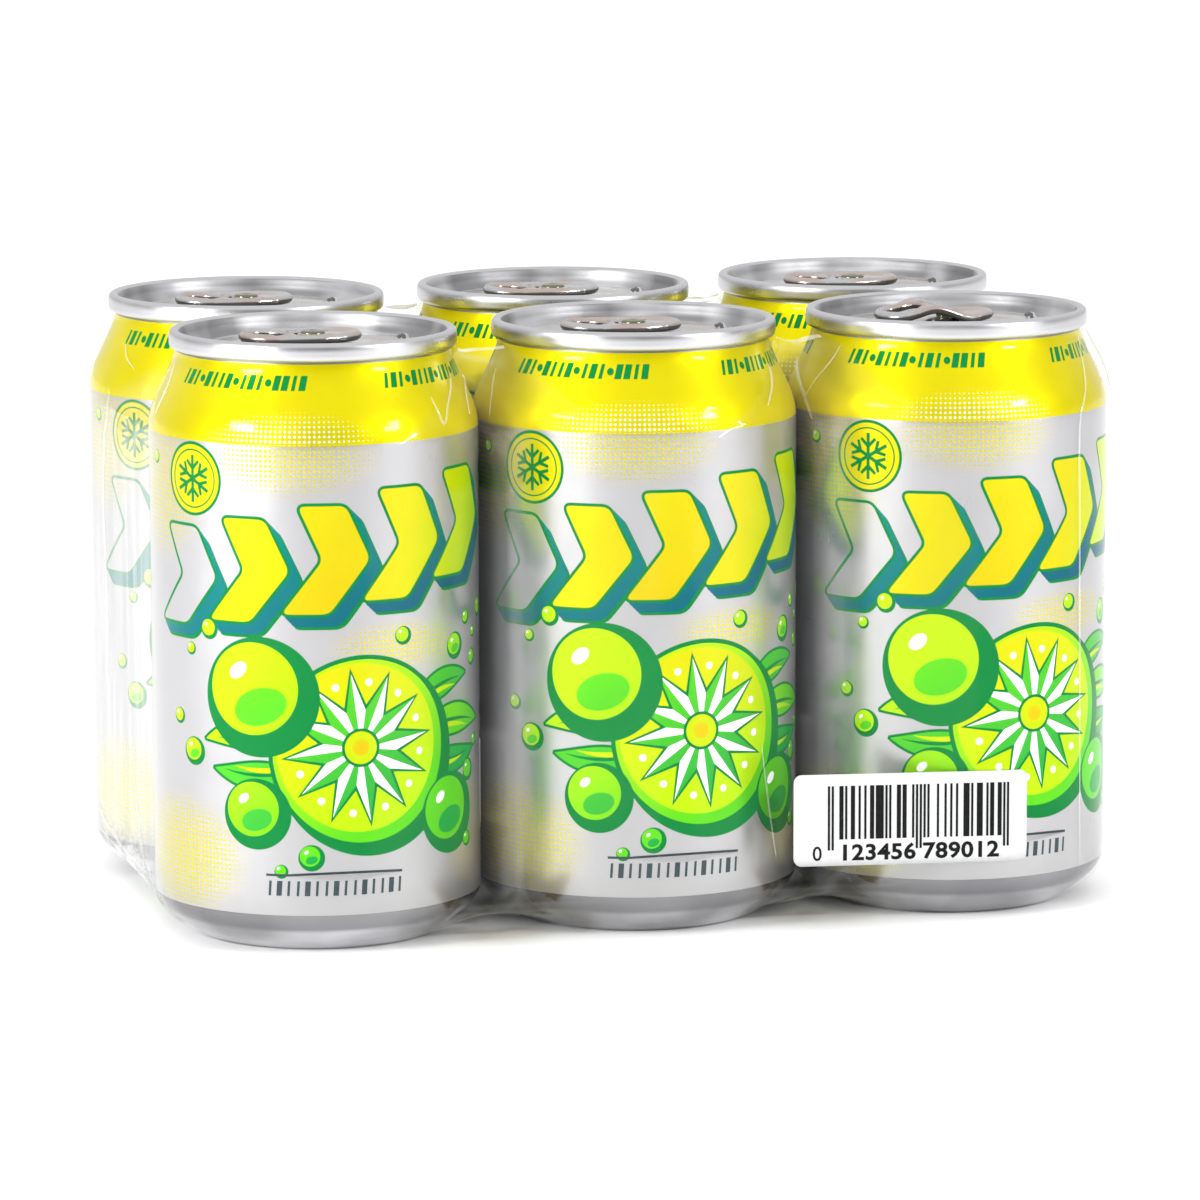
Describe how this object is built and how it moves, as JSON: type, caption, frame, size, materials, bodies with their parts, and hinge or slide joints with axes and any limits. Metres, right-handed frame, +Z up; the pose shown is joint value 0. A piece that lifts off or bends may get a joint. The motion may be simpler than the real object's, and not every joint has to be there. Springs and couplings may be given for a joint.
{
  "type": "six pack of cans",
  "caption": "Block of upright drinks cans with riveted ring-pull ends, held together by a clear shrink-film band that carries a small label.",
  "frame": {"origin": "centre of the bounding box, at the level of the cans' feet", "axes": "+X along the rows of three cans, to the right seen from the labelled front; +Y from the front row to the back row; +Z up"},
  "size_m": [0.2016, 0.1354, 0.1232],
  "materials": {
    "can_body": "satin silver and bright yellow print, bare metal at the foot",
    "can_end": "bright rolled aluminium",
    "can_tab": "bright rolled aluminium",
    "film": "clear glossy shrink film",
    "label": "white coated paper with black bars"
  },
  "bodies": {
    "root": {"can_front_left_body": "can_body", "can_front_middle_body": "can_body", "can_front_right_body": "can_body", "can_back_left_body": "can_body", "can_back_middle_body": "can_body", "can_back_right_body": "can_body", "can_front_left_end": "can_end", "can_front_middle_end": "can_end", "can_front_right_end": "can_end", "can_back_left_end": "can_end", "can_back_middle_end": "can_end", "can_back_right_end": "can_end", "can_front_left_tab": "can_tab", "can_front_middle_tab": "can_tab", "can_front_right_tab": "can_tab", "can_back_left_tab": "can_tab", "can_back_middle_tab": "can_tab", "can_back_right_tab": "can_tab", "film_band": "film", "film_label": "label"}
  },
  "joints": []
}
